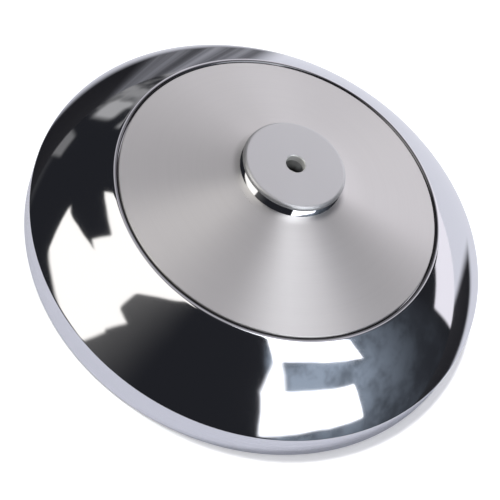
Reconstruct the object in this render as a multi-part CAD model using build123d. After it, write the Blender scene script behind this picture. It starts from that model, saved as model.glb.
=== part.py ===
from build123d import *
from math import asin, atan2, cos, degrees, radians, sin
import os

# Weighted post base: a polished domed floor base for a rope or belt post.
# Millimetres, +Z up.  The origin is on the floor, on the axis of the base.
# The post stands on the round boss.  A captive bolt inside the stem is pushed
# up and turned from below to draw the post down onto the boss.

# ---- driving dimensions -------------------------------------------------
BASE_D = 356.0            # over the rim, a 14 inch base
BAND_H = 24.0             # top of the turned rim band above the floor
BAND_DRAFT = 1.5          # how much the band leans in over its height
COVER_D = 240.0           # satin cone cover
COVER_EDGE_Z = 66.4       # top of the cover at its outer edge
BOSS_D = 76.0             # round boss that the post stands on
BOSS_BASE_Z = 87.5
BOSS_TOP_Z = 97.5
BORE_D = 14.2             # clearance bore for the M12 post bolt
STEM_D = 40.0             # stem of the boss, threaded at its lower end
SHELL_T = 3.0             # wall of the dome shell
COVER_T = 4.0             # wall of the cone cover
RIM_LIFT = 1.0            # metal rim above the floor, the rubber carries the weight
FIT = 0.3                 # free gap round parts that slide together at assembly
THREAD_GAP = 0.05         # radial gap in a made-up thread

# ---- dome shell ---------------------------------------------------------
RIM_R = BASE_D / 2
CREASE_R = RIM_R - BAND_DRAFT
RIM_EDGE = 0.8            # broken lower edge of the rim
SHOULDER_R = 123.8        # where the flank turns down to the cover
SHOULDER_Z = 66.2
SHOULDER_SLOPE = 30.0     # flank slope there, degrees
SHOULDER_ROUND = 2.2
LEDGE_R = 108.0           # inner edge of the ledge under the cover
LEDGE_Z = 62.5

# ---- cone cover ---------------------------------------------------------
COVER_R = COVER_D / 2
COVER_BREAK = 0.7         # broken outer edge
COVER_SLOPE = 11.5        # slope at the outer edge, degrees
FLARE_R = 44.0            # where the cone turns up to the boss
FLARE_Z = 85.0
GASKET_T = 0.5

# ---- boss and stem ------------------------------------------------------
BOSS_R = BOSS_D / 2
BOSS_ROUND = 3.2
BORE_R = BORE_D / 2
BORE_BREAK = 0.6
STEM_R = STEM_D / 2
STEM_FOOT_Z = 8.0
STEM_TOP_Z = 92.0         # end of the stem inside the boss
POCKET_R = 14.5           # pocket for the bolt's head and washers
POCKET_TOP_Z = 56.0
O_RING_R = 26.0
O_RING_SECTION = 2.0
LAND_R = BOSS_R - 3.0     # flat land under the cover's middle
TUBE_WALL = 6.7           # wall of the spacer tube

# ---- ballast, bottom plate and floor ring -------------------------------
PLATE_R = 170.0
PLATE_T = 2.5
PLATE_Z = 3.0
PLATE_HOLE_R = 27.0
FLOOR_RING_IN_R = 157.0
FLOOR_RING_OUT_R = 168.0
BALLAST_R = 163.0
BALLAST_Z = PLATE_Z + PLATE_T
BALLAST_TOP_Z = 24.0
BALLAST_CHAMFER = 6.0
HUB_R = 46.0
HUB_TOP_Z = 34.0
HUB_FOOT = 4.0            # chamfer at the foot of the hub
RECESS_R = 38.0           # recess in the ballast for the ring nut
RECESS_TOP_Z = 20.0
WELL_R_IN = 62.0          # cast wells that lighten the top of the ballast
WELL_R_OUT = 140.0
WELL_FLOOR_Z = 17.0
WELLS = 6
RIB_W = 12.0

# ---- fasteners ----------------------------------------------------------
NUT_R = 31.0
NUT_Z = 10.0
NUT_H = 8.0
NUT_SLOTS = 4
NUT_SLOT_W = 7.0
NUT_SLOT_DEPTH = 3.5
NUT_WASHER_T = 2.0
LOCK_SCREW_D = 4.0
LOCK_SOCKET_R = 1.15
LOCK_SOCKET_DEPTH = 2.5
KEY_D = 5.0
PLATE_SCREWS = 6
PLATE_SCREW_PCD = 296.0
PLATE_SCREW_D = 5.0
PLATE_SCREW_HEAD_D = 9.6
PLATE_SCREW_L = 14.0
PLATE_SOCKET_R = 1.7
PLATE_SOCKET_DEPTH = 2.2
COVER_PINS = 3
COVER_PIN_PCD = 228.0
COVER_PIN_D = 4.0
COVER_PIN_L = 4.2
PADS = 8
PAD_W = 18.0
PAD_H = 9.0
PAD_GAP = 0.8
BOLT_D = 12.0
BOLT_PITCH = 1.75
THREAD_DEPTH = 0.61 * BOLT_PITCH
BOLT_THREAD_L = 30.0
BOLT_HEAD_AF = 18.0
BOLT_HEAD_H = 7.5
BOLT_LENGTH = 65.0
BOLT_SOCKET_AF = 8.0
BOLT_SOCKET_DEPTH = 4.0
KEEPER_Z = 9.6
KEEPER_T = 1.4
KEEPER_GROOVE = 1.6
KEEPER_W = 3.4            # width of the ring inside the pocket's wall
KEEPER_GAP = 9.0
LUG_R = 2.4
LUG_HOLE_R = 0.9
LUG_IN = 3.1
LUG_APART = 6.6
WASHER_T = 2.5


def at_angle(centre, radius, angle):
    """The point of a circle at an angle in degrees."""
    return (centre[0] + radius * cos(radians(angle)), centre[1] + radius * sin(radians(angle)))


def arc_about(centre, radius, start, end):
    """An arc about a centre from one angle to another."""
    return ThreePointArc(at_angle(centre, radius, start),
                         at_angle(centre, radius, (start + end) / 2),
                         at_angle(centre, radius, end))


def angle_of(centre, point):
    """The angle in degrees at which a centre sees a point."""
    return degrees(atan2(point[1] - centre[1], point[0] - centre[0]))


def arc_with_slope(far, near, slope, hollow):
    """Centre and radius of the arc through two points with a known slope at the second.

    A hollow arc has its centre above the surface, a crowned one below it.
    """
    side = 1 if hollow else -1
    normal = (side * sin(radians(slope)), side * cos(radians(slope)))
    run = (far[0] - near[0], far[1] - near[1])
    radius = (run[0] ** 2 + run[1] ** 2) / (2 * (run[0] * normal[0] + run[1] * normal[1]))
    return (near[0] + radius * normal[0], near[1] + radius * normal[1]), radius


def turned(draw):
    """Turn the closed outline that draw() makes, in radius and height, about Z."""
    with BuildPart() as made:
        with BuildSketch(Plane.XZ):
            with BuildLine():
                draw()
            make_face()
        revolve(axis=Axis.Z)
    return made.part


def turned_points(*points):
    """Turn a closed outline of straight edges about Z."""
    return turned(lambda: Polyline(*points, close=True))


def ring(inner, outer, low, high):
    """A plain turned ring."""
    return turned_points((inner, low), (outer, low), (outer, high), (inner, high))


def rod(radius, low, high, x=0.0, y=0.0):
    """A plain turned rod with its axis along Z at x, y."""
    return Pos(x, y, low) * extrude(Circle(radius), high - low)


def on_circle(count, pitch_circle, start=0.0):
    """Places spaced evenly round the axis, as x, y and the angle in degrees."""
    turns = [start + 360.0 * step / count for step in range(count)]
    return [(*at_angle((0, 0), pitch_circle / 2, turn), turn) for turn in turns]


def dome_shell():
    """Spun shell: rim band, mirror flank, shoulder and the ledge under the cover."""
    centre, flank_r = arc_with_slope((CREASE_R, BAND_H), (SHOULDER_R, SHOULDER_Z),
                                     SHOULDER_SLOPE, hollow=False)
    inner_r = flank_r - SHELL_T
    ledge_low = LEDGE_Z - SHELL_T
    bend = at_angle((SHOULDER_R, SHOULDER_Z), SHOULDER_ROUND, 270.0 - SHOULDER_SLOPE)

    def outline():
        foot = (RIM_R, RIM_LIFT + RIM_EDGE)
        Line(foot, (CREASE_R, BAND_H))
        arc_about(centre, flank_r, angle_of(centre, (CREASE_R, BAND_H)), 90.0 - SHOULDER_SLOPE)
        turn_in = arc_about(bend, SHOULDER_ROUND, 90.0 - SHOULDER_SLOPE, 180.0)
        inner_top = degrees(asin((ledge_low - centre[1]) / inner_r))
        inner_low = degrees(asin((BAND_H - centre[1]) / inner_r))
        Polyline(turn_in @ 1, ((turn_in @ 1).X, LEDGE_Z), (LEDGE_R, LEDGE_Z), (LEDGE_R, ledge_low),
                 at_angle(centre, inner_r, inner_top))
        inner = arc_about(centre, inner_r, inner_top, inner_low)
        Polyline(inner @ 1, (RIM_R - SHELL_T, RIM_LIFT), (RIM_R - RIM_EDGE, RIM_LIFT), foot)
    shell = turned(outline)
    for x, y, _ in on_circle(COVER_PINS, COVER_PIN_PCD):
        shell -= rod(COVER_PIN_D / 2, LEDGE_Z - COVER_PIN_L / 2, LEDGE_Z + 1, x, y)
    return shell


def cone_cover():
    """Turned cover: a shallow hollow cone that flares up to the boss."""
    flare = (FLARE_R, FLARE_Z)
    edge = (COVER_R - COVER_BREAK, COVER_EDGE_Z)
    centre, radius = arc_with_slope(flare, edge, COVER_SLOPE, hollow=True)
    start = angle_of(centre, edge)
    end = angle_of(centre, flare)
    under_z = LEDGE_Z + GASKET_T
    land_low = BOSS_BASE_Z - COVER_T
    bore_r = STEM_R + FIT

    def outline():
        top = arc_about(centre, radius, start, end)
        rise = TangentArc(top @ 1, (BOSS_R, BOSS_BASE_Z), tangent=top % 1)
        inner = at_angle(centre, radius + COVER_T, end)
        outer = at_angle(centre, radius + COVER_T, angle_of(centre, (LEDGE_R - 8, COVER_EDGE_Z)))
        Polyline(rise @ 1, (bore_r, BOSS_BASE_Z), (bore_r, land_low), (LAND_R, land_low), inner)
        ThreePointArc(inner, at_angle(centre, radius + COVER_T,
                                      (angle_of(centre, inner) + angle_of(centre, outer)) / 2), outer)
        Polyline(outer, (LEDGE_R - 1, under_z), (COVER_R, under_z),
                 (COVER_R, COVER_EDGE_Z - COVER_BREAK), edge)
    cover = turned(outline)
    for x, y, _ in on_circle(COVER_PINS, COVER_PIN_PCD):
        cover -= rod(COVER_PIN_D / 2, under_z - 1, under_z + COVER_PIN_L / 2, x, y)
    return cover


def post_boss():
    """Turned boss with a bore for the bolt, screwed onto the top of the stem."""
    groove_low = BOSS_BASE_Z + O_RING_SECTION
    socket_r = STEM_R + THREAD_GAP

    def outline():
        round_c = (BOSS_R - BOSS_ROUND, BOSS_TOP_Z - BOSS_ROUND)
        shoulder = arc_about(round_c, BOSS_ROUND, 0.0, 90.0)
        Polyline(shoulder @ 1, (BORE_R + BORE_BREAK, BOSS_TOP_Z), (BORE_R, BOSS_TOP_Z - BORE_BREAK),
                 (BORE_R, STEM_TOP_Z), (socket_r, STEM_TOP_Z), (socket_r, BOSS_BASE_Z),
                 (O_RING_R - O_RING_SECTION / 2, BOSS_BASE_Z),
                 (O_RING_R - O_RING_SECTION / 2, groove_low),
                 (O_RING_R + O_RING_SECTION / 2, groove_low),
                 (O_RING_R + O_RING_SECTION / 2, BOSS_BASE_Z),
                 (BOSS_R, BOSS_BASE_Z), shoulder @ 0)
    return turned(outline)


def post_stem():
    """Steel stem under the boss, with the bolt's bore and the pocket for its head."""
    stem = turned_points((BORE_R, STEM_TOP_Z), (BORE_R, POCKET_TOP_Z), (POCKET_R, POCKET_TOP_Z),
                         (POCKET_R, STEM_FOOT_Z), (STEM_R, STEM_FOOT_Z), (STEM_R, STEM_TOP_Z))
    stem -= ring(POCKET_R - 1, POCKET_R + KEEPER_GROOVE, KEEPER_Z - 0.1, KEEPER_Z + KEEPER_T + 0.1)
    stem -= rod(KEY_D / 2, RECESS_TOP_Z - 1, HUB_TOP_Z + 1, STEM_R, 0)
    return stem


def boss_o_ring():
    """Rubber ring in the boss's underside that seals on the cover."""
    return Pos(0, 0, BOSS_BASE_Z + O_RING_SECTION / 2) * Torus(O_RING_R, O_RING_SECTION / 2)


def cover_gasket():
    """Thin seat between the shell's ledge and the cover."""
    gasket = ring(LEDGE_R + 0.5, COVER_R - 1, LEDGE_Z, LEDGE_Z + GASKET_T)
    for x, y, _ in on_circle(COVER_PINS, COVER_PIN_PCD):
        gasket -= rod(COVER_PIN_D / 2, LEDGE_Z - 1, LEDGE_Z + GASKET_T + 1, x, y)
    return gasket


def cover_pins():
    """Dowels that keep the cover from turning on the shell."""
    low = LEDGE_Z - COVER_PIN_L / 2
    high = LEDGE_Z + GASKET_T + COVER_PIN_L / 2
    return [rod(COVER_PIN_D / 2, low + 0.1, high - 0.1, x, y)
            for x, y, _ in on_circle(COVER_PINS, COVER_PIN_PCD)]


def support_tube():
    """Spacer tube that carries the cover's middle on the ballast hub."""
    return ring(STEM_R + FIT, STEM_R + FIT + TUBE_WALL, HUB_TOP_Z, BOSS_BASE_Z - COVER_T)


def ballast():
    """Cast iron weight with a hub, six wells and the ring nut's recess."""
    body = turned_points(
        (RECESS_R, BALLAST_Z), (BALLAST_R, BALLAST_Z), (BALLAST_R, BALLAST_TOP_Z - BALLAST_CHAMFER),
        (BALLAST_R - BALLAST_CHAMFER, BALLAST_TOP_Z), (HUB_R + HUB_FOOT, BALLAST_TOP_Z),
        (HUB_R, BALLAST_TOP_Z + HUB_FOOT), (HUB_R, HUB_TOP_Z), (STEM_R + FIT, HUB_TOP_Z),
        (STEM_R + FIT, RECESS_TOP_Z), (RECESS_R, RECESS_TOP_Z))
    well = ring(WELL_R_IN, WELL_R_OUT, WELL_FLOOR_Z, BALLAST_TOP_Z + 1)
    for _, _, turn in on_circle(WELLS // 2, 1.0, 30.0):
        rib = Box(3 * BALLAST_R, RIB_W, 4 * BALLAST_TOP_Z)
        well -= Rot(0, 0, turn) * rib
    body -= well
    body -= rod(KEY_D / 2, RECESS_TOP_Z - 1, HUB_TOP_Z + 1, STEM_R, 0)
    for x, y, _ in on_circle(PLATE_SCREWS, PLATE_SCREW_PCD):
        body -= rod(PLATE_SCREW_D / 2, BALLAST_Z - 1, PLATE_Z + PLATE_SCREW_L + 0.5, x, y)
    return body


def shell_pads():
    """Rubber buttons between the ballast's edge and the shell's wall."""
    pads = []
    low = BALLAST_Z + 2
    for _, _, turn in on_circle(PADS, 1.0, 22.5):
        outer = ring(BALLAST_R, CREASE_R - SHELL_T - PAD_GAP, low, low + PAD_H)
        pads.append(outer & (Rot(0, 0, turn) * Pos(BALLAST_R, 0, 0) * Box(60, PAD_W, 60)))
    return pads


def stem_key():
    """Round key half in the stem and half in the hub, so the boss can't turn."""
    return rod(KEY_D / 2 - THREAD_GAP, RECESS_TOP_Z + 0.2, HUB_TOP_Z - 0.2, STEM_R, 0)


def nut_washer():
    """Steel washer between the ring nut and the ballast."""
    return ring(STEM_R + FIT, NUT_R + 3, RECESS_TOP_Z - NUT_WASHER_T, RECESS_TOP_Z)


def ring_nut():
    """Slotted ring nut that clamps boss, cover, tube, shell and ballast together."""
    nut = ring(STEM_R + THREAD_GAP, NUT_R, NUT_Z, NUT_Z + NUT_H)
    slot = Pos(NUT_R, 0, NUT_Z + NUT_H / 2) * Box(2 * NUT_SLOT_DEPTH, NUT_SLOT_W, 3 * NUT_H)
    for _, _, turn in on_circle(NUT_SLOTS, 1.0, 45.0):
        nut -= Rot(0, 0, turn) * slot
    across = Rot(0, 90, 0) * Cylinder(LOCK_SCREW_D / 2, 40)
    nut -= Pos(STEM_R + 20, 0, NUT_Z + NUT_H / 2) * across
    return nut


def nut_lock_screw():
    """Grub screw that locks the ring nut on the stem."""
    long = NUT_R - STEM_R - 2
    body = Cylinder(LOCK_SCREW_D / 2 - THREAD_GAP, long)
    body -= Pos(0, 0, long / 2) * extrude(RegularPolygon(LOCK_SOCKET_R, 6),
                                          LOCK_SOCKET_DEPTH, both=True)
    return Pos(STEM_R + 0.2 + long / 2, 0, NUT_Z + NUT_H / 2) * Rot(0, 90, 0) * body


def bottom_plate():
    """Steel plate that closes the underside, with a hole to reach the bolt."""
    plate = ring(PLATE_HOLE_R, PLATE_R, PLATE_Z, PLATE_Z + PLATE_T)
    head_r = PLATE_SCREW_HEAD_D / 2
    for x, y, _ in on_circle(PLATE_SCREWS, PLATE_SCREW_PCD):
        sink = Cone(head_r + 0.1, PLATE_SCREW_D / 2 + 0.1, PLATE_T)
        plate -= Pos(x, y, PLATE_Z + PLATE_T / 2) * sink
    return plate


def plate_screws():
    """Countersunk screws that hold the bottom plate to the ballast."""
    shank_r = PLATE_SCREW_D / 2 - THREAD_GAP
    screws = []
    for x, y, turn in on_circle(PLATE_SCREWS, PLATE_SCREW_PCD):
        screw = Cone(PLATE_SCREW_HEAD_D / 2, shank_r, PLATE_T - 0.05,
                     align=(Align.CENTER, Align.CENTER, Align.MIN))
        screw += rod(shank_r, 0, PLATE_SCREW_L)
        screw -= Rot(0, 0, turn) * extrude(RegularPolygon(PLATE_SOCKET_R, 6),
                                        PLATE_SOCKET_DEPTH, both=True)
        screws.append(Pos(x, y, PLATE_Z + 0.05) * screw)
    return screws


def floor_ring():
    """Rubber ring under the plate that the base stands on."""
    low_c = 0.8
    return turned_points((FLOOR_RING_IN_R, PLATE_Z), (FLOOR_RING_IN_R + low_c, 0),
                         (FLOOR_RING_OUT_R - low_c, 0), (FLOOR_RING_OUT_R, PLATE_Z))


def keeper_ring():
    """Internal retaining ring that keeps the bolt in its pocket."""
    outer = POCKET_R + KEEPER_GROOVE - 0.2
    keeper = ring(POCKET_R - KEEPER_W, outer, KEEPER_Z, KEEPER_Z + KEEPER_T)
    keeper -= Pos(-POCKET_R, 0, KEEPER_Z) * Box(10, KEEPER_GAP, 10)
    for side in (-1, 1):
        lug = rod(LUG_R, KEEPER_Z, KEEPER_Z + KEEPER_T, -POCKET_R + LUG_IN, side * LUG_APART)
        lug -= rod(LUG_HOLE_R, KEEPER_Z - 1, KEEPER_Z + KEEPER_T + 1,
                   -POCKET_R + LUG_IN, side * LUG_APART)
        keeper += lug
    return keeper


def post_bolt():
    """Captive hexagon bolt that screws up into the foot of the post."""
    head_low = KEEPER_Z + KEEPER_T
    head_top = head_low + BOLT_HEAD_H
    tip = head_top + BOLT_LENGTH
    hexagon = RegularPolygon(BOLT_HEAD_AF / 2, 6, major_radius=False)
    head = Pos(0, 0, head_low) * extrude(hexagon, BOLT_HEAD_H)
    crown = turned_points((0, head_low), (BOLT_HEAD_AF / 2 * 0.95, head_low),
                          (BOLT_HEAD_AF / 2 * 1.16, head_low + 1.2), (BOLT_HEAD_AF / 2 * 1.16, head_top),
                          (0, head_top))
    head &= crown
    root_r = BOLT_D / 2 - THREAD_DEPTH
    shank = [(0, head_top - 1), (BOLT_D / 2 - 0.1, head_top - 1), (BOLT_D / 2 - 0.1, tip - BOLT_THREAD_L)]
    turns = int(BOLT_THREAD_L / BOLT_PITCH) - 1
    low = tip - BOLT_THREAD_L
    for step in range(turns):
        base = low + step * BOLT_PITCH
        shank += [(root_r, base + 0.5 * BOLT_PITCH), (BOLT_D / 2 - 0.1, base + BOLT_PITCH)]
    shank += [(root_r, tip - 0.3), (root_r - 0.6, tip), (0, tip)]
    bolt = head + turned_points(*shank)
    socket = Pos(0, 0, head_low) * extrude(
        RegularPolygon(BOLT_SOCKET_AF / 2, 6, major_radius=False), BOLT_SOCKET_DEPTH, both=True)
    return bolt - socket


def spring_washer():
    """Split spring washer on the bolt's head."""
    low = KEEPER_Z + KEEPER_T + BOLT_HEAD_H
    washer = ring(BOLT_D / 2 + 0.2, BOLT_D / 2 + 4.4, low, low + WASHER_T)
    cut = Pos(BOLT_D / 2 + 2, 0, low + WASHER_T / 2) * Rot(35, 0, 0) * Box(12, 0.8, 12)
    return washer - cut


def flat_washer():
    """Thick washer that bears on the top of the pocket."""
    low = KEEPER_Z + KEEPER_T + BOLT_HEAD_H + WASHER_T
    return ring(BOLT_D / 2 + 0.2, POCKET_R - 1.5, low, low + WASHER_T)


NODES = {
    "dome_shell": dome_shell,
    "cone_cover": cone_cover,
    "cover_gasket": cover_gasket,
    "cover_pins": cover_pins,
    "post_boss": post_boss,
    "post_stem": post_stem,
    "boss_o_ring": boss_o_ring,
    "support_tube": support_tube,
    "ballast": ballast,
    "shell_pads": shell_pads,
    "stem_key": stem_key,
    "nut_washer": nut_washer,
    "ring_nut": ring_nut,
    "nut_lock_screw": nut_lock_screw,
    "bottom_plate": bottom_plate,
    "plate_screws": plate_screws,
    "floor_ring": floor_ring,
    "keeper_ring": keeper_ring,
    "post_bolt": post_bolt,
    "spring_washer": spring_washer,
    "flat_washer": flat_washer,
}

os.makedirs("parts", exist_ok=True)
for node, make in NODES.items():
    made = make()
    if isinstance(made, list):
        made = Compound(children=made)
    export_step(made, f"parts/{node}.step")
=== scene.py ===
import math

import bpy
from mathutils import Matrix, Vector


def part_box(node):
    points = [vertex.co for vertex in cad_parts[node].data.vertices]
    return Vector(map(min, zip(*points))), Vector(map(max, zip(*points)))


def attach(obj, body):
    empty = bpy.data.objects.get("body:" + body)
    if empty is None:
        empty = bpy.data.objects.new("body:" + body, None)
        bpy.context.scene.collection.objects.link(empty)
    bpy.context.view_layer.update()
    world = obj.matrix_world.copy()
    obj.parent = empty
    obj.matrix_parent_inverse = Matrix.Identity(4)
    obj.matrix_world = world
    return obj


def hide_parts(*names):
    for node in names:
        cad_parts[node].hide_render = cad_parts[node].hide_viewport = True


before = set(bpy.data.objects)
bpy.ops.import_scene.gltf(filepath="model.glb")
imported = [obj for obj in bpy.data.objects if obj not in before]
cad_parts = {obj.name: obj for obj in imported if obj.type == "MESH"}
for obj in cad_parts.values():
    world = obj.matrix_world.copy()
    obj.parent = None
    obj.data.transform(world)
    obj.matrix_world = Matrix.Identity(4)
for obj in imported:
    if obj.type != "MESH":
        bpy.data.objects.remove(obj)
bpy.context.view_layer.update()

# ---- sizes of the turned pieces, in metres ------------------------------
MM = 0.001
RIM_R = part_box("dome_shell")[1].x
RIM_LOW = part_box("dome_shell")[0].z
BOSS_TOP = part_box("post_boss")[1].z
BOSS_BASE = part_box("post_boss")[0].z
BOSS_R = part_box("post_boss")[1].x
COVER_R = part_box("cone_cover")[1].x
COVER_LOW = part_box("cone_cover")[0].z
CREASE_R = RIM_R - 1.5 * MM        # where the rim band meets the flank
CREASE_Z = 24.0 * MM
SHELL_WALL = 3.0 * MM
SHOULDER_R = 123.8 * MM            # where the flank turns down to the cover
SHOULDER_Z = 66.2 * MM
SHOULDER_SLOPE = 30.0
SHOULDER_ROUND = 2.2 * MM
LEDGE_R = 108.0 * MM
LEDGE_Z = 62.5 * MM
COVER_EDGE_Z = 66.4 * MM
COVER_BREAK = 0.7 * MM
COVER_SLOPE = 11.5
COVER_WALL = 4.0 * MM
FLARE_R = 44.0 * MM
FLARE_Z = 85.0 * MM
BOSS_ROUND = 3.2 * MM
BORE_R = 7.1 * MM
BORE_BREAK = 0.6 * MM
STEM_R = 20.0 * MM
STEM_TOP = 92.0 * MM

TURN_STEPS = 360                   # flats round a turned piece
SCREW_STEPS = 48
CREASE_ANGLE = 28.0                # edges sharper than this stay sharp
POLE_GAP = 1e-6                    # points nearer than this at the axis become one


# ---- outlines -----------------------------------------------------------
def arc(centre, radius, start, end, steps):
    """Points along an arc, angles in degrees."""
    points = []
    for step in range(steps + 1):
        angle = math.radians(start + (end - start) * step / steps)
        points.append((centre[0] + radius * math.cos(angle), centre[1] + radius * math.sin(angle)))
    return points


def angle_of(centre, point):
    """The angle in degrees at which a centre sees a point."""
    return math.degrees(math.atan2(point[1] - centre[1], point[0] - centre[0]))


def arc_with_slope(far, near, slope, hollow):
    """Centre and radius of the arc through two points with a known slope at the second."""
    side = 1 if hollow else -1
    normal = (side * math.sin(math.radians(slope)), side * math.cos(math.radians(slope)))
    run = (far[0] - near[0], far[1] - near[1])
    radius = (run[0] ** 2 + run[1] ** 2) / (2 * (run[0] * normal[0] + run[1] * normal[1]))
    return (near[0] + radius * normal[0], near[1] + radius * normal[1]), radius


def tangent_arc(start, heading, end, steps):
    """An arc that leaves a point along a line in degrees and ends at another point.

    It sets off along the line in whichever sense leads towards the end.
    """
    along = Vector((math.cos(math.radians(heading)), math.sin(math.radians(heading))))
    chord = Vector(end) - Vector(start)
    if chord.dot(along) < 0:
        along = -along
    side = Vector((-along.y, along.x))
    if chord.dot(side) < 0:
        side = -side
    radius = chord.length_squared / (2 * chord.dot(side))
    centre = Vector(start) + side * radius
    first = Vector(start) - centre
    turn = first.angle_signed(Vector(end) - centre)
    points = []
    for step in range(steps + 1):
        spot = Matrix.Rotation(-turn * step / steps, 2) @ first + centre
        points.append((spot.x, spot.y))
    return points


def rounded(points, radius, steps=5):
    """A closed outline with every marked corner rounded; a corner is marked by a third value."""
    out = []
    count = len(points)
    for index, point in enumerate(points):
        if len(point) == 2:
            out.append(point)
            continue
        here = Vector(point[:2])
        before = (Vector(points[index - 1][:2]) - here)
        after = (Vector(points[(index + 1) % count][:2]) - here)
        reach = min(radius * point[2], before.length * 0.45, after.length * 0.45)
        first = here + before.normalized() * reach
        last = here + after.normalized() * reach
        for step in range(steps + 1):
            t = step / steps
            spot = first * (1 - t) ** 2 + here * 2 * t * (1 - t) + last * t ** 2
            out.append((spot.x, spot.y))
    return out


# ---- turned pieces: a lathe tree -----------------------------------------
def new_node(tree, kind, settings=None, inputs=None):
    """A node with its settings made first and its sockets then filled or linked."""
    node = tree.nodes.new(kind)
    for key, value in (settings or {}).items():
        setattr(node, key, value)
    for key, value in (inputs or {}).items():
        socket = node.inputs[key]
        if isinstance(value, bpy.types.NodeSocket):
            tree.links.new(value, socket)
        else:
            socket.default_value = value
    return node


def open_tree(name, asked):
    """A geometry tree with the inputs it is asked for; gives the tree and those inputs."""
    tree = bpy.data.node_groups.new(name, "GeometryNodeTree")
    tree.interface.new_socket("Geometry", in_out="INPUT", socket_type="NodeSocketGeometry")
    for label, kind in asked.items():
        tree.interface.new_socket(label, in_out="INPUT", socket_type="NodeSocket" + kind)
    tree.interface.new_socket("Geometry", in_out="OUTPUT", socket_type="NodeSocketGeometry")
    return tree, tree.nodes.new("NodeGroupInput").outputs


def close_tree(tree, geometry, given):
    """Smooths the shallow edges, makes instances real, sets the finish and ends the tree."""
    angle = new_node(tree, "GeometryNodeInputMeshEdgeAngle")
    smooth_edge = new_node(tree, "FunctionNodeCompare",
                           {"data_type": "FLOAT", "operation": "LESS_THAN"},
                           {0: angle.outputs["Unsigned Angle"], 1: given["Crease"]})
    soft = new_node(tree, "GeometryNodeSetShadeSmooth", {"domain": "EDGE"},
                    {"Geometry": geometry, "Shade Smooth": smooth_edge.outputs[0]})
    soft_faces = new_node(tree, "GeometryNodeSetShadeSmooth", {"domain": "FACE"},
                          {"Geometry": soft.outputs[0], "Shade Smooth": True})
    real = new_node(tree, "GeometryNodeRealizeInstances", None,
                    {"Geometry": soft_faces.outputs[0]})
    finish = new_node(tree, "GeometryNodeSetMaterial", None,
                      {"Geometry": real.outputs[0], "Material": given["Finish"]})
    out = tree.nodes.new("NodeGroupOutput")
    tree.links.new(finish.outputs[0], out.inputs[0])
    return tree


def lathed(tree, given):
    """The outline turned about Z; it lies in X (radius) and Y (height, pointing down)."""
    hub = MM                       # the path needs a radius; the outline is moved in by it
    outline = new_node(tree, "GeometryNodeMeshToCurve", None, {"Mesh": given["Geometry"]})
    shifted = new_node(tree, "GeometryNodeTransform", None,
                       {"Geometry": outline.outputs[0], "Translation": (-hub, 0.0, 0.0)})
    path = new_node(tree, "GeometryNodeCurvePrimitiveCircle", {"mode": "RADIUS"},
                    {"Resolution": given["Steps"], "Radius": hub})
    swept = new_node(tree, "GeometryNodeCurveToMesh", None,
                     {"Curve": path.outputs[0], "Profile Curve": shifted.outputs[0]})
    merged = new_node(tree, "GeometryNodeMergeByDistance", None,
                      {"Geometry": swept.outputs[0], "Distance": given["Pole Gap"]})
    return merged.outputs[0]


def lathe_tree():
    """A tree that turns the outline it is given about Z."""
    tree, given = open_tree("lathe", {"Steps": "Int", "Crease": "Float", "Pole Gap": "Float",
                                      "Finish": "Material"})
    return close_tree(tree, lathed(tree, given), given)


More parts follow.
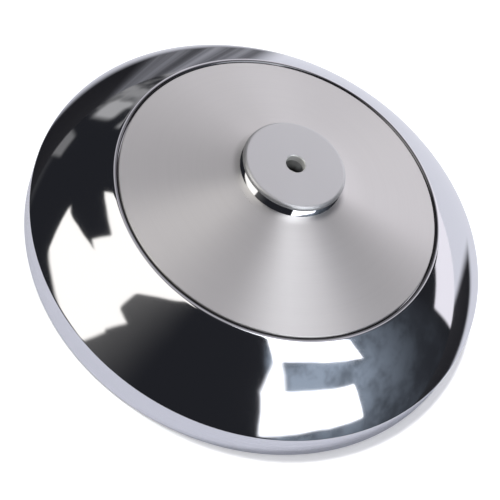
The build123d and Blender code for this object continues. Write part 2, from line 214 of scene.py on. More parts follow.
def screw_tree():
    """A tree that makes a threaded fastener and sets a number of them round a circle.

    The outline it is given is turned about Z. Six flats are cut on the head, a hexagon
    socket is cut into its low end, and a thread is wound up the shank.
    """
    tree, given = open_tree("screw", {
        "Steps": "Int", "Crease": "Float", "Pole Gap": "Float", "Finish": "Material",
        "Flats": "Float", "Head Low": "Float", "Head High": "Float", "Socket": "Float",
        "Socket Depth": "Float", "Thread Radius": "Float", "Thread Low": "Float",
        "Thread High": "Float", "Turns": "Float", "Ridge": "Float", "Count": "Int",
        "Circle": "Float"})

    def maths(operation, first, second):
        return new_node(tree, "ShaderNodeMath", {"operation": operation},
                        {0: first, 1: second}).outputs[0]

    def vector(x, y, z):
        return new_node(tree, "ShaderNodeCombineXYZ", None, {0: x, 1: y, 2: z}).outputs[0]

    # six blocks whose inner faces are the flats; they pass the head's ends by 1 mm
    height = maths("SUBTRACT", given["Head High"], given["Head Low"])
    block = new_node(tree, "GeometryNodeMeshCube", None,
                     {"Size": vector(given["Flats"], given["Flats"],
                                     maths("ADD", height, 2 * MM))})
    reach = new_node(tree, "GeometryNodeTransform", None,
                     {"Geometry": block.outputs[0],
                      "Translation": vector(given["Flats"], 0.0, maths(
                          "MULTIPLY", maths("ADD", given["Head Low"], given["Head High"]),
                          0.5))})
    blocks = []
    for turn in range(6):
        spun = new_node(tree, "GeometryNodeTransform", None,
                        {"Geometry": reach.outputs[0],
                         "Rotation": (0.0, 0.0, math.radians(30 + 60 * turn))})
        blocks.append(spun.outputs[0])
    cut = lathed(tree, given)
    for cutter in blocks:
        cut = new_node(tree, "GeometryNodeMeshBoolean", {"operation": "DIFFERENCE"},
                       {"Mesh 1": cut, "Mesh 2": cutter}).outputs[0]
    prism = new_node(tree, "GeometryNodeMeshCylinder", None,
                     {"Vertices": 6, "Radius": maths("DIVIDE", given["Socket"], 3 ** 0.5),
                      "Depth": maths("MULTIPLY", given["Socket Depth"], 2.0)})
    placed = new_node(tree, "GeometryNodeTransform", None,
                      {"Geometry": prism.outputs[0],
                       "Translation": vector(0.0, 0.0, given["Head Low"])})
    cut = new_node(tree, "GeometryNodeMeshBoolean", {"operation": "DIFFERENCE"},
                   {"Mesh 1": cut, "Mesh 2": placed.outputs[0]}).outputs[0]

    # the thread: a ridge wound round the shank
    rise = maths("SUBTRACT", given["Thread High"], given["Thread Low"])
    helix = new_node(tree, "GeometryNodeCurveSpiral", None,
                     {"Resolution": 40, "Rotations": given["Turns"],
                      "Start Radius": given["Thread Radius"],
                      "End Radius": given["Thread Radius"], "Height": rise})
    upright = new_node(tree, "GeometryNodeSetCurveNormal", {"mode": "Z_UP"},
                       {"Curve": helix.outputs[0]})
    lifted = new_node(tree, "GeometryNodeTransform", None,
                      {"Geometry": upright.outputs[0],
                       "Translation": vector(0.0, 0.0, given["Thread Low"])})
    ridge = new_node(tree, "GeometryNodeCurvePrimitiveQuadrilateral", {"mode": "TRAPEZOID"},
                     {"Height": given["Ridge"],
                      "Bottom Width": maths("MULTIPLY", given["Ridge"], 1.5),
                      "Top Width": maths("MULTIPLY", given["Ridge"], 0.25), "Offset": 0.0})
    lying = new_node(tree, "GeometryNodeTransform", None,
                     {"Geometry": ridge.outputs[0], "Rotation": (0.0, 0.0, -math.pi / 2)})
    thread = new_node(tree, "GeometryNodeCurveToMesh", None,
                      {"Curve": lifted.outputs[0], "Profile Curve": lying.outputs[0],
                       "Fill Caps": True})
    whole = new_node(tree, "GeometryNodeJoinGeometry")
    tree.links.new(thread.outputs[0], whole.inputs[0])
    tree.links.new(cut, whole.inputs[0])

    # set round the circle, each turned by its own amount
    spots = new_node(tree, "GeometryNodeMeshCircle", None,
                     {"Vertices": given["Count"], "Radius": given["Circle"]})
    spin = new_node(tree, "FunctionNodeRandomValue", {"data_type": "FLOAT"},
                    {"Max": math.pi / 3, "Seed": 7})
    set_round = new_node(tree, "GeometryNodeInstanceOnPoints", None,
                         {"Points": spots.outputs[0], "Instance": whole.outputs[0],
                          "Rotation": vector(0.0, 0.0, spin.outputs[1])})
    alone = maths("LESS_THAN", given["Circle"], 1e-5)
    picked = new_node(tree, "GeometryNodeSwitch", {"input_type": "GEOMETRY"},
                      {"Switch": alone, "False": set_round.outputs[0],
                       "True": whole.outputs[0]})
    return close_tree(tree, picked.outputs[0], given)


def socket_id(tree, name):
    """The identifier of a tree's named input."""
    return next(item.identifier for item in tree.interface.items_tree
                if item.name == name and item.in_out == "INPUT")


LATHE = lathe_tree()
SCREW = screw_tree()


def made_by(tree, name, outline, finish, **settings):
    """A finished piece that a tree makes from a closed outline in radius and height."""
    mesh = bpy.data.meshes.new(name)
    count = len(outline)
    mesh.from_pydata([(r, -z, 0.0) for r, z in outline],
                     [(i, (i + 1) % count) for i in range(count)], [])
    piece = bpy.data.objects.new(name, mesh)
    bpy.context.scene.collection.objects.link(piece)
    maker = piece.modifiers.new(tree.name, "NODES")
    maker.node_group = tree
    maker[socket_id(tree, "Crease")] = math.radians(CREASE_ANGLE)
    maker[socket_id(tree, "Pole Gap")] = POLE_GAP
    maker[socket_id(tree, "Finish")] = finish
    for key, value in settings.items():
        maker[socket_id(tree, key.replace("_", " "))] = value
    settled(piece)
    outward(piece)
    return piece


def settled(piece):
    """Turns what the modifiers make into the piece's own plain mesh."""
    shown = piece.evaluated_get(bpy.context.evaluated_depsgraph_get())
    made = bpy.data.meshes.new_from_object(shown)
    piece.modifiers.clear()
    piece.data = made


def outward(piece):
    """Turns the faces outward where the whole closed mesh is inside out."""
    mesh = piece.data
    volume = 0.0
    for face in mesh.polygons:
        spots = [mesh.vertices[v].co for v in face.vertices]
        for second, third in zip(spots[1:], spots[2:]):
            volume += spots[0].dot(second.cross(third))
    if volume < 0:
        mesh.flip_normals()


# ---- shader expressions --------------------------------------------------
class Val:
    """A shader value; arithmetic on it adds Math nodes to its material."""

    def __init__(self, finish, socket):
        self.finish = finish
        self.socket = socket

    def math(self, operation, *others):
        inputs = {0: self, **{i + 1: other for i, other in enumerate(others)}}
        return self.finish.value("ShaderNodeMath", {"operation": operation}, inputs)

    def swapped(self, operation, other):
        return self.finish.value("ShaderNodeMath", {"operation": operation}, {0: other, 1: self})

    def __add__(self, other):
        return self.math("ADD", other)

    def __sub__(self, other):
        return self.math("SUBTRACT", other)

    def __mul__(self, other):
        return self.math("MULTIPLY", other)

    def __truediv__(self, other):
        return self.math("DIVIDE", other)

    def __gt__(self, other):
        return self.math("GREATER_THAN", other)

    def __lt__(self, other):
        return self.math("LESS_THAN", other)

    def __rsub__(self, other):
        return self.swapped("SUBTRACT", other)

    __radd__ = __add__
    __rmul__ = __mul__


class Nodes:
    """A shader tree, with one method for any node and a few for common steps."""

    def __init__(self, tree):
        self.tree = tree

    def node(self, kind, settings=None, inputs=None):
        plain = {k: v.socket if isinstance(v, Val) else v for k, v in (inputs or {}).items()}
        return new_node(self.tree, kind, settings, plain)

    def value(self, kind, settings=None, inputs=None, output=0):
        return Val(self, self.node(kind, settings, inputs).outputs[output])

    def xyz(self, vector):
        parts = self.node("ShaderNodeSeparateXYZ", None, {0: vector})
        return [Val(self, out) for out in parts.outputs]

    def vector(self, x, y, z):
        return self.value("ShaderNodeCombineXYZ", None, {0: x, 1: y, 2: z})

    def noise(self, vector, scale, detail=3.0, roughness=0.5):
        return self.value("ShaderNodeTexNoise", {"noise_dimensions": "3D"},
                          {"Vector": vector, "Scale": scale, "Detail": detail,
                           "Roughness": roughness})

    def ramp(self, value, low, high, out_low=0.0, out_high=1.0, smooth=True):
        """A value mapped from one range to another and held at the ends."""
        kind = "SMOOTHSTEP" if smooth else "LINEAR"
        return self.value("ShaderNodeMapRange", {"interpolation_type": kind},
                          {"Value": value, "From Min": low, "From Max": high,
                           "To Min": out_low, "To Max": out_high})

    def mix(self, factor, first, second):
        """A colour between two colours."""
        node = self.node("ShaderNodeMix", {"data_type": "RGBA"},
                         {0: factor, 6: first, 7: second})
        return Val(self, node.outputs[2])


class Finish(Nodes):
    """One material, with constants set on its shader and the rest fed to it."""

    def __init__(self, name, **constants):
        self.material = bpy.data.materials.new(name)
        self.material.use_nodes = True
        super().__init__(self.material.node_tree)
        self.shader = self.tree.nodes["Principled BSDF"]
        for key, value in constants.items():
            self.shader.inputs[key.replace("_", " ")].default_value = value

    def feed(self, socket, value):
        self.tree.links.new(value.socket, self.shader.inputs[socket])

    def place(self):
        """Object coordinates as a vector, and as separate x, y and z."""
        where = self.value("ShaderNodeTexCoord", output="Object")
        return where, self.xyz(where)

    def radius(self):
        """Distance from the axis, height, and the angle round the axis."""
        _, (x, y, z) = self.place()
        return (x * x + y * y).math("SQRT"), z, y.math("ARCTAN2", x)

    def bump(self, height, strength, distance, under=None):
        """The normal over a rough height, laid on another normal where one is given."""
        inputs = {"Strength": strength, "Distance": distance, "Height": height}
        if under is not None:
            inputs["Normal"] = under
        return self.value("ShaderNodeBump", None, inputs)


def turned_grooves(finish, radius, angle, pitch):
    """Fine uneven rings round the axis, from a noise that is long round and short across."""
    rings = finish.vector(radius / pitch, angle * 0.6, 0.0)
    return finish.noise(rings, 1.0, 4.0, 0.65)


# ---- finishes ------------------------------------------------------------
MIRROR = (0.80, 0.80, 0.83, 1.0)
BAND = (0.74, 0.74, 0.785, 1.0)
# colour of painted shade in the dark gap where the shell meets the cover
PAINTED_GAP_SHADE = (0.03, 0.03, 0.034, 1.0)
SIDE_LEAN = 0.8                    # rise of the boss side's shading normal per unit outward


def mirror_shell():
    """Mirror flank with faint polishing rings, and a plain turned rim band."""
    f = Finish("mirror_shell", Metallic=1.0)
    radius, z, angle = f.radius()
    where, _ = f.place()
    on_band = f.ramp(z, CREASE_Z - 0.25 * MM, CREASE_Z - 0.05 * MM, 1.0, 0.0)
    inside = f.ramp(radius, LEDGE_R + 11 * MM, LEDGE_R + 11.6 * MM, 1.0, 0.0)
    rings = turned_grooves(f, radius, angle, 0.9 * MM)
    haze = f.noise(where, 18.0, 3.0, 0.55)
    polish = 0.028 + haze * 0.03 + rings * 0.02
    band = 0.2 + turned_grooves(f, z, angle, 0.5 * MM) * 0.12
    f.feed("Roughness", polish * (1.0 - on_band) + band * on_band + inside * 0.25)
    # painted shade: the shoulder's turn-in wall above the ledge is darkened towards the gap to the
    # cover
    gap_shade_mask = (f.ramp(radius, SHOULDER_R - 1.7 * MM, SHOULDER_R - 0.8 * MM, 1.0, 0.0)
             * f.ramp(z, LEDGE_Z, LEDGE_Z + 0.5 * MM))
    f.feed("Base Color", f.mix(gap_shade_mask * 0.8, f.mix(on_band, MIRROR, BAND), PAINTED_GAP_SHADE))
    waves = f.noise(where, 9.0, 1.5, 0.4)
    ripple = f.bump(waves, 0.35, 1.6 * MM)
    f.feed("Normal", f.bump(rings, 0.03, 0.05 * MM, ripple))
    return f.material


def turned_satin():
    """Fine turned satin: rings round the axis that stretch every highlight outward."""
    f = Finish("turned_satin", Metallic=0.8, Anisotropic=0.9, Anisotropic_Rotation=0.25)
    radius, z, angle = f.radius()
    where, _ = f.place()
    rings = turned_grooves(f, radius, angle, 0.7 * MM)
    broad = turned_grooves(f, radius, angle, 6.0 * MM)
    cloud = f.noise(where, 10.0, 2.0, 0.5)
    flare = f.ramp(radius, BOSS_R + 3 * MM, BOSS_R + 26 * MM, 0.25, 0.31)
    f.feed("Roughness", flare + rings * 0.02 + broad * 0.02 + cloud * 0.02)
    tone = f.ramp(rings * 0.6 + broad * 0.4, 0.3, 0.7)
    metal = f.mix(tone, (0.69, 0.675, 0.67, 1.0), (0.71, 0.695, 0.69, 1.0))
    # painted shade: the cover's outer edge darkens where it meets the shell
    rim_gap_shade = f.ramp(radius, COVER_R - 0.5 * MM, COVER_R - 0.2 * MM)
    f.feed("Base Color", f.mix(rim_gap_shade * 0.6, metal, PAINTED_GAP_SHADE))
    f.feed("Normal", f.bump(rings, 0.015, 0.02 * MM))
    return f.material


def boss_metal():
    """Satin top and shoulder, a polished side, and a plain bored hole.

    The shading of the side leans up, so that it mirrors the room and not the cover.
    """
    f = Finish("boss_metal", Metallic=1.0, Anisotropic=0.3, Anisotropic_Rotation=0.25)
    radius, z, angle = f.radius()
    side = f.ramp(z, BOSS_TOP - BOSS_ROUND, BOSS_TOP - BOSS_ROUND + 0.9 * MM, 1.0, 0.0)
    polished = side * f.ramp(radius, BOSS_R - 2 * MM, BOSS_R - MM)
    in_bore = f.ramp(radius, BORE_R + 0.1 * MM, BORE_R + 0.5 * MM, 1.0, 0.0)
    rings = turned_grooves(f, radius, angle, 0.6 * MM)
    bored = turned_grooves(f, z, angle, 0.5 * MM)
    satin = 0.36 + rings * 0.06
    f.feed("Roughness", satin * (1.0 - polished) + polished * 0.05 + in_bore * 0.08)
    metal = f.mix(polished, (0.66, 0.66, 0.67, 1.0), MIRROR)
    f.feed("Base Color", f.mix(in_bore, metal, (0.86, 0.86, 0.84, 1.0)))
    f.feed("Metallic", 0.85 + polished * 0.15 - in_bore * 0.5)
    texture = rings * (1.0 - polished) * (1.0 - in_bore) * 0.5 + bored * in_bore * 3.0
    upright = f.value("ShaderNodeNewGeometry", output="Normal")
    lean = f.value("ShaderNodeVectorMath", {"operation": "ADD"},
                   {0: upright, 1: f.vector(0.0, 0.0, polished * SIDE_LEAN)})
    facing = f.value("ShaderNodeVectorMath", {"operation": "NORMALIZE"}, {0: lean})
    f.feed("Normal", f.bump(texture, 0.15, 0.08 * MM, facing))
    return f.material


def zinc_steel():
    """Plated steel with a fine spangle."""
    f = Finish("zinc_steel", Metallic=1.0)
    where, _ = f.place()
    spangle = f.noise(where, 400.0, 3.0, 0.6)
    broad = f.noise(where, 40.0, 2.0, 0.5)
    f.feed("Base Color", f.mix(broad, (0.5, 0.51, 0.52, 1.0), (0.66, 0.66, 0.65, 1.0)))
    f.feed("Roughness", 0.28 + spangle * 0.18)
    f.feed("Normal", f.bump(spangle, 0.1, 0.05 * MM))
    return f.material


def oiled_steel():
    """Blackened spring steel with an oily film."""
    f = Finish("oiled_steel", Metallic=1.0)
    where, _ = f.place()
    scale = f.noise(where, 500.0, 3.0, 0.6)
    f.feed("Base Color", f.mix(scale, (0.07, 0.07, 0.075, 1.0), (0.14, 0.135, 0.13, 1.0)))
    f.feed("Roughness", 0.35 + scale * 0.2)
    f.feed("Normal", f.bump(scale, 0.1, 0.04 * MM))
    return f.material


def cast_iron():
    """Painted rough casting."""
    f = Finish("cast_iron", Metallic=0.25)
    where, _ = f.place()
    grain = f.noise(where, 650.0, 4.0, 0.7)
    lumps = f.noise(where, 60.0, 3.0, 0.55)
    f.feed("Base Color", f.mix(lumps, (0.035, 0.036, 0.038, 1.0), (0.075, 0.074, 0.072, 1.0)))
    f.feed("Roughness", 0.55 + grain * 0.3)
    f.feed("Normal", f.bump(grain * 0.5 + lumps * 2.0, 0.4, 0.4 * MM))
    return f.material


def powder_coat():
    """Black powder coat with a fine orange peel."""
    f = Finish("powder_coat", Metallic=0.0)
    where, _ = f.place()
    peel = f.noise(where, 900.0, 2.0, 0.5)
    dust = f.noise(where, 25.0, 3.0, 0.6)
    f.feed("Base Color", f.mix(dust, (0.022, 0.022, 0.024, 1.0), (0.04, 0.04, 0.042, 1.0)))
    f.feed("Roughness", 0.42 + dust * 0.18)
    f.feed("Normal", f.bump(peel, 0.25, 0.12 * MM))
    return f.material


def black_rubber():
    """Moulded rubber with a faint bloom."""
    f = Finish("black_rubber", Metallic=0.0)
    where, _ = f.place()
    grain = f.noise(where, 1500.0, 2.0, 0.5)
    bloom = f.noise(where, 30.0, 3.0, 0.6)
    f.feed("Base Color", f.mix(bloom, (0.018, 0.018, 0.018, 1.0), (0.04, 0.039, 0.038, 1.0)))
    f.feed("Roughness", 0.62 + bloom * 0.2)
    f.feed("Normal", f.bump(grain, 0.2, 0.06 * MM))
    return f.material


SHELL_FINISH = mirror_shell()
SATIN_FINISH = turned_satin()
BOSS_FINISH = boss_metal()
ZINC = zinc_steel()
OILED = oiled_steel()
IRON = cast_iron()
POWDER = powder_coat()
RUBBER = black_rubber()


# ---- visible turned pieces -----------------------------------------------
def shell_outline():
    """The shell: rim band, flank, shoulder, ledge and inner wall."""
    centre, flank_r = arc_with_slope((CREASE_R, CREASE_Z), (SHOULDER_R, SHOULDER_Z),
                                     SHOULDER_SLOPE, hollow=False)
    inner_r = flank_r - SHELL_WALL
    ledge_low = LEDGE_Z - SHELL_WALL
    tilt = math.radians(SHOULDER_SLOPE)
    bend = (SHOULDER_R - SHOULDER_ROUND * math.sin(tilt),
            SHOULDER_Z - SHOULDER_ROUND * math.cos(tilt))
    crease_angle = angle_of(centre, (CREASE_R, CREASE_Z))
    inner_top = math.degrees(math.asin((ledge_low - centre[1]) / inner_r))
    inner_low = math.degrees(math.asin((CREASE_Z - centre[1]) / inner_r))
    flank = arc(centre, flank_r, crease_angle, 90.0 - SHOULDER_SLOPE, 60)
    turn_in = arc(bend, SHOULDER_ROUND, 90.0 - SHOULDER_SLOPE, 180.0, 14)
    inner = arc(centre, inner_r, inner_top, inner_low, 24)
    foot = 0.8 * MM
    points = [(RIM_R - foot, RIM_LOW), (RIM_R, RIM_LOW + foot), (*flank[0], 0.35)]
    points += flank[1:] + turn_in[1:]
    points += [(turn_in[-1][0], LEDGE_Z), (LEDGE_R, LEDGE_Z), (LEDGE_R, ledge_low)]
    points += inner + [(RIM_R - SHELL_WALL, RIM_LOW)]
    return rounded(points, MM)


def cover_outline():
    """The cone cover: a long hollow curve that flares up to the boss."""
    edge = (COVER_R - COVER_BREAK, COVER_EDGE_Z)
    flare = (FLARE_R, FLARE_Z)
    centre, radius = arc_with_slope(flare, edge, COVER_SLOPE, hollow=True)
    start = angle_of(centre, edge)
    end = angle_of(centre, flare)
    top = arc(centre, radius, start, end, 60)
    rise = tangent_arc(top[-1], end + 90.0, (BOSS_R, BOSS_BASE), 16)
    under_end = angle_of(centre, (LEDGE_R - 8 * MM, COVER_EDGE_Z))
    under = arc(centre, radius + COVER_WALL, end, under_end, 24)
    bore_r = STEM_R + 0.3 * MM
    land_low = BOSS_BASE - COVER_WALL
    points = [(COVER_R, COVER_LOW), (COVER_R, COVER_EDGE_Z - COVER_BREAK)]
    points += top + rise[1:]
    points += [(bore_r, BOSS_BASE), (bore_r, land_low), (BOSS_R - 3 * MM, land_low)]
    return points + under + [(LEDGE_R - MM, COVER_LOW)]


def boss_outline():
    """The boss: flat top, rounded shoulder, short side, bore and the stem's socket."""
    shoulder = arc((BOSS_R - BOSS_ROUND, BOSS_TOP - BOSS_ROUND), BOSS_ROUND, 0.0, 90.0, 18)
    socket_r = STEM_R + 0.05 * MM
    points = [(BOSS_R, BOSS_BASE, 0.3)] + shoulder
    points += [(BORE_R + BORE_BREAK, BOSS_TOP), (BORE_R, BOSS_TOP - BORE_BREAK)]
    return rounded(points + [(BORE_R, STEM_TOP), (socket_r, STEM_TOP), (socket_r, BOSS_BASE)], MM)


def add_turned(name, node, outline, finish):
    """A turned piece that stands for a CAD node of the base."""
    piece = made_by(LATHE, name, outline, finish, Steps=TURN_STEPS)
    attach(piece, "base")
    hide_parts(node)


add_turned("polished_shell", "dome_shell", shell_outline(), SHELL_FINISH)
add_turned("satin_cover", "cone_cover", cover_outline(), SATIN_FINISH)
add_turned("turned_boss", "post_boss", boss_outline(), BOSS_FINISH)


# ---- fasteners ------------------------------------------------------------
def add_screws(name, node, body, finish, outline, settings):
    """Fasteners that stand for a CAD node."""
    piece = made_by(SCREW, name, outline, finish, Steps=SCREW_STEPS, **settings)
    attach(piece, body)
    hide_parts(node)


BOLT_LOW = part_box("post_bolt")[0].z
BOLT_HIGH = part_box("post_bolt")[1].z
BOLT_HEAD_TOP = BOLT_LOW + 7.5 * MM
BOLT_HEAD_R = 10.39 * MM           # over the corners of the head
BOLT_SHANK_R = 5.9 * MM
BOLT_ROOT_R = 4.93 * MM            # at the foot of the thread
BOLT_THREAD_L = 30.5 * MM


def bolt_outline():
    """The post bolt: chamfered head, plain shank and a threaded end with a chamfered tip."""
    thread_low = BOLT_HIGH - BOLT_THREAD_L
    return [(0.0, BOLT_LOW), (8.6 * MM, BOLT_LOW), (BOLT_HEAD_R, BOLT_LOW + 1.1 * MM),
            (BOLT_HEAD_R, BOLT_HEAD_TOP), (BOLT_SHANK_R, BOLT_HEAD_TOP),
            (BOLT_SHANK_R, thread_low), (BOLT_ROOT_R, thread_low + MM),
            (BOLT_ROOT_R, BOLT_HIGH - 1.2 * MM), (BOLT_ROOT_R - MM, BOLT_HIGH),
            (0.0, BOLT_HIGH)]


add_screws("threaded_bolt", "post_bolt", "bolt", ZINC, bolt_outline(), {
    "Flats": 18.0 * MM, "Head_Low": BOLT_LOW, "Head_High": BOLT_HEAD_TOP,
    "Socket": 8.0 * MM, "Socket_Depth": 4.0 * MM, "Thread_Radius": 5.3 * MM,
    "Thread_Low": BOLT_HIGH - BOLT_THREAD_L - 0.5 * MM, "Thread_High": BOLT_HIGH - 1.25 * MM,
    "Turns": 17.0, "Ridge": 1.1 * MM, "Count": 1, "Circle": 0.0})

SCREW_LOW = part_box("plate_screws")[0].z
SCREW_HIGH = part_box("plate_screws")[1].z
SCREW_HEAD_R = 4.79 * MM
SCREW_ROOT_R = 2.1 * MM
SCREWS = 6
SCREW_CIRCLE_R = 148.0 * MM
SCREW_OUTLINE = [
    (0.0, SCREW_LOW), (4.5 * MM, SCREW_LOW), (SCREW_HEAD_R, SCREW_LOW + 0.2 * MM),
    (SCREW_ROOT_R, SCREW_LOW + 2.6 * MM), (SCREW_ROOT_R, SCREW_HIGH - 0.6 * MM),
    (1.7 * MM, SCREW_HIGH), (0.0, SCREW_HIGH)]
add_screws("socket_screws", "plate_screws", "base", ZINC, SCREW_OUTLINE, {
    "Flats": 12.0 * MM, "Head_Low": SCREW_LOW, "Head_High": SCREW_LOW + 2.0 * MM,
    "Socket": 2.9 * MM, "Socket_Depth": 2.2 * MM, "Thread_Radius": 2.2 * MM,
    "Thread_Low": SCREW_LOW + 3.4 * MM, "Thread_High": SCREW_HIGH - 0.8 * MM,
    "Turns": 12.0, "Ridge": 0.45 * MM, "Count": SCREWS, "Circle": SCREW_CIRCLE_R})


# ---- CAD pieces that keep their shape -------------------------------------
NODE_FINISH = {
    "cover_gasket": RUBBER, "cover_pins": ZINC, "post_stem": ZINC, "boss_o_ring": RUBBER,
    "support_tube": ZINC, "ballast": IRON, "shell_pads": RUBBER, "stem_key": ZINC,
    "nut_washer": ZINC, "ring_nut": ZINC, "nut_lock_screw": OILED, "bottom_plate": POWDER,
    "floor_ring": RUBBER, "keeper_ring": OILED, "spring_washer": OILED, "flat_washer": ZINC,
}
for node_name, finish in NODE_FINISH.items():
    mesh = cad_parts[node_name].data
    mesh.materials.clear()
    mesh.materials.append(finish)


# ---- floor, light and camera ----------------------------------------------
FLOOR_COLOUR = (0.96, 0.96, 0.97, 1.0)
MIRRORED_FLOOR = (0.61, 0.62, 0.67, 1.0)
BEYOND_SHEET = (0.008, 0.008, 0.01, 1.0)
DARK_ROOM = (0.017, 0.018, 0.022, 1.0)
PALE_WALL = (0.99, 0.965, 1.03, 1.0)
WARM_BOX = (1.3, 1.27, 1.2, 1.0)
COOL_BOX = (2.35, 2.4, 2.5, 1.0)
HAZE = (0.36, 0.43, 0.52, 1.0)
SHELF_GREY = (0.42, 0.42, 0.42, 1.0)
BACKDROP = (1.0, 1.0, 1.0, 1.0)
SHEET_X = 0.03                     # middle of the pale sheet, in metres
SHEET_Y = -0.08
SHEET_R = 0.28
SHEET_FADE = 0.05
DEGREES = 180 / math.pi


def plain_floor():
    """A pale floor, open under the base so that its underside can be seen from below.

    Only a sheet of it is pale where the metal mirrors it.
    """
    size = 6.0
    opening = RIM_R - 4 * MM
    sides = 96
    mesh = bpy.data.meshes.new("floor")
    turns = [math.tau * i / sides for i in range(sides)]
    rounds = [(radius * math.cos(turn), radius * math.sin(turn), 0.0)
              for radius in (opening, size) for turn in turns]
    mesh.from_pydata(rounds, [], [(i, sides + i, sides + (i + 1) % sides, (i + 1) % sides)
                                  for i in range(sides)])
    floor = bpy.data.objects.new("floor", mesh)
    bpy.context.scene.collection.objects.link(floor)
    f = Finish("floor_paper", Roughness=0.9)
    f.shader.inputs["Specular IOR Level"].default_value = 0.1
    _, (x, y, z) = f.place()
    aside = x - SHEET_X
    along = y - SHEET_Y
    sheet = f.ramp((aside * aside + along * along).math("SQRT"),
                   SHEET_R, SHEET_R + SHEET_FADE, 1.0, 0.0)

    # behind the base one broad sector is pale too, and the next one to it is streaked
    side = x / (x * x + y * y).math("SQRT")
    swept = f.ramp(side, -0.4, -0.25) * f.ramp(side, 0.78, 0.84, 1.0, 0.0) * (y > 0.0)
    streaks = f.noise(f.vector(side * 9.0, z, 0.0), 1.0, 3.0, 0.6)
    dim = (f.ramp(side, -0.8, -0.68) * f.ramp(side, -0.4, -0.25, 1.0, 0.0) * (y > 0.0)
           * f.ramp(streaks, 0.35, 0.65, 0.08, 0.4))
    seen = f.value("ShaderNodeLightPath", output="Is Camera Ray")
    pale = sheet.math("MAXIMUM", swept).math("MAXIMUM", dim)
    mirrored = f.mix(pale, BEYOND_SHEET, MIRRORED_FLOOR)
    f.feed("Base Color", f.mix(seen, mirrored, FLOOR_COLOUR))
    f.feed("Emission Color", f.mix(seen, (0.0, 0.0, 0.0, 1.0), FLOOR_COLOUR))
    f.shader.inputs["Emission Strength"].default_value = 0.15
    mesh.materials.append(f.material)


class Screen:
    """An upright screen that faces the object, with bright openings in it.

    Its azimuth runs from the front, positive to the right. Places on it are given across
    and up, in parts of its distance.
    """

    def __init__(self, room, direction, azimuth):
        turn = math.radians(azimuth)
        x, y, z = direction
        ahead = x * math.sin(turn) - y * math.cos(turn)
        least = 0.02               # a direction less far ahead than this misses the screen
        near = ahead.math("MAXIMUM", least)
        self.room = room
        self.across = (x * math.cos(turn) + y * math.sin(turn)) / near
        self.up = z / near
        self.front = ahead > least

    def opening(self, left, right, low, high, left_lean=0.0, right_lean=0.0, soft=0.02):
        """A bright patch with soft edges; a lean moves a side edge by that much per unit up."""
        sloped_left = self.across - (self.up - low) * left_lean
        sloped_right = self.across - (self.up - low) * right_lean
        ramp = self.room.ramp
        return (ramp(sloped_left, left - soft, left + soft)
                * ramp(sloped_right, right - soft, right + soft, 1.0, 0.0)
                * ramp(self.up, low - soft, low + soft)
                * ramp(self.up, high - soft, high + soft, 1.0, 0.0) * self.front)


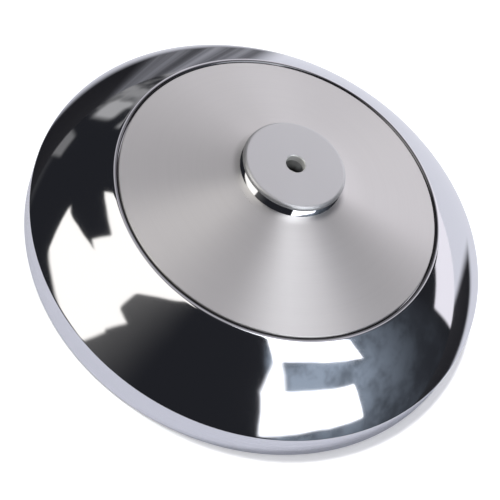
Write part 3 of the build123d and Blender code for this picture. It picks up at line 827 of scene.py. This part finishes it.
def studio():
    """A dark room with a pale wall behind and soft boxes at the front left and right."""
    world = bpy.data.worlds.new("room")
    bpy.context.scene.world = world
    world.use_nodes = True
    room = Nodes(world.node_tree)

    # directions, bent a little so that straight edges waver, and their angles in degrees:
    # over the top from the back, round from the front with the right positive, and up
    where = room.value("ShaderNodeTexCoord", output="Generated")
    stir = room.node("ShaderNodeTexNoise", None, {"Vector": where, "Scale": 3.0, "Detail": 2.0})
    x, y, z = [clean + (bend - 0.5) * 0.05 for clean, bend in
               zip(room.xyz(where), room.xyz(Val(room, stir.outputs["Color"])))]
    over = z.math("ARCTAN2", y) * DEGREES
    around = x.math("ARCTAN2", y * -1.0) * DEGREES
    height = z.math("ARCSINE") * DEGREES

    # the wall behind, dimmer upward and dark past its stepped right end
    wall = (room.ramp(over, 30, 76, 0.86, 0.46, smooth=False)
            * room.ramp(over, 76, 118, 1.0, 0.0) * (x * 0.35 + 1.0)
            * room.ramp(x, -0.6, -0.42))
    right_end = room.ramp(around, 119.5, 121) * room.ramp(height, 11, 12.5, 1.0, 0.0)
    right_end = right_end.math("MAXIMUM", room.ramp(around, 136, 143) + (around < 0.0))
    right_end = right_end.math("MAXIMUM", room.ramp(height, 48, 62))
    wall = wall * right_end.math("MINIMUM", 1.0)

    # grey clutter low at the back left, thin haze on the right, a faint glow at the front left
    swirl = room.noise(where, 4.0, 3.0, 0.6)
    clutter = (room.ramp(swirl, 0.4, 0.58, 0.05, 1.0) * room.ramp(around, -124, -130)
               * room.ramp(around, -170, -150) * room.ramp(height, 16, 30, 1.0, 0.0))
    wisps = room.noise(where, 5.0, 4.0, 0.65)
    haze = (room.ramp(wisps, 0.35, 0.65, 0.5, 1.25) * room.ramp(height, 2, 34, 0.35, 1.0)
            * room.ramp(around, 36, 44) * room.ramp(around, 60, 112, 1.0, 0.12)
            * room.ramp(around, 112, 122, 1.0, 0.0) * room.ramp(height, 60, 45, 0.0, 1.0))
    glow = room.ramp(around, -52, -12, 1.0, 0.0) * room.ramp(around, -50, -42)

    behind = Screen(room, (x, y, z), -128.0)
    shelves = (behind.opening(-0.07, 0.06, 0.05, 0.2, soft=0.03)
               + behind.opening(0.13, 0.3, -0.06, 0.08, left_lean=0.5, right_lean=0.3) * 0.45
               + behind.opening(0.33, 0.62, -0.2, 0.02, right_lean=0.4) * 0.06
               + behind.opening(-0.9, 0.1, 0.3, 0.34, left_lean=0.8) * 0.7)
    clutter = clutter * 0.7 + shelves

    right = Screen(room, (x, y, z), 30.0)
    cool = (right.opening(0.105, 1.04, 0.34, 0.75)
            + right.opening(0.23, 1.45, 1.14, 6.5, left_lean=-0.06)
            + right.opening(0.105, 0.31, 0.75, 1.2, left_lean=0.35, soft=0.04))
    left = Screen(room, (x, y, z), -45.0)
    warm = (left.opening(-0.97, 0.12, 0.5, 0.75, left_lean=2.2, right_lean=0.29)
            + left.opening(-0.6, 0.07, 0.26, 0.52, left_lean=-1.6, right_lean=0.29)
            + left.opening(-0.6, 0.07, 0.72, 1.12, right_lean=-0.19)
            + left.opening(-1.24, 0.0, 0.98, 2.2, right_lean=0.45))
    tone = room.mix(wall, DARK_ROOM, PALE_WALL)
    tone = room.mix(clutter.math("MINIMUM", 1.0), tone, SHELF_GREY)
    tone = room.mix(glow * 0.1, tone, WARM_BOX)
    tone = room.mix(haze, tone, HAZE)
    tone = room.mix(warm.math("MINIMUM", 1.0), tone, WARM_BOX)
    tone = room.mix(cool.math("MINIMUM", 1.0), tone, COOL_BOX)
    seen = room.value("ShaderNodeLightPath", output="Is Camera Ray")
    sky = world.node_tree.nodes["Background"]
    world.node_tree.links.new(room.mix(seen, tone, BACKDROP).socket, sky.inputs["Color"])
    sky.inputs["Strength"].default_value = 1.0
    top_light()


def top_light():
    """A high lamp behind on the left that gives the floor a short soft shadow."""
    light = bpy.data.lights.new("top_light", "SUN")
    light.energy = 2.2
    light.angle = math.radians(8)
    lamp = bpy.data.objects.new("top_light", light)
    azimuth = math.radians(-110)
    height = math.radians(70)
    out = Vector((math.sin(azimuth) * math.cos(height), -math.cos(azimuth) * math.cos(height),
                  math.sin(height)))
    lamp.rotation_mode = "QUATERNION"
    lamp.rotation_quaternion = out.to_track_quat("Z", "Y")
    lamp.visible_glossy = False
    bpy.context.scene.collection.objects.link(lamp)


def camera():
    """Looks down at the base from the front, turned so that the axis leans to the right."""
    stand = Vector((0.0, -0.4659, 0.6253))
    target = Vector((0.0, -0.0314, 0.024))
    lean = 28.0
    data = bpy.data.cameras.new("camera")
    data.lens = 71.94
    data.sensor_width = 36.0
    cam = bpy.data.objects.new("camera", data)
    cam.location = stand
    cam.rotation_mode = "QUATERNION"
    look = (target - stand).to_track_quat("-Z", "Y").to_matrix()
    cam.rotation_quaternion = (look @ Matrix.Rotation(math.radians(lean), 3, "Z")).to_quaternion()
    bpy.context.scene.collection.objects.link(cam)
    bpy.context.scene.camera = cam


plain_floor()
studio()
camera()
bpy.context.scene.view_settings.view_transform = "Standard"
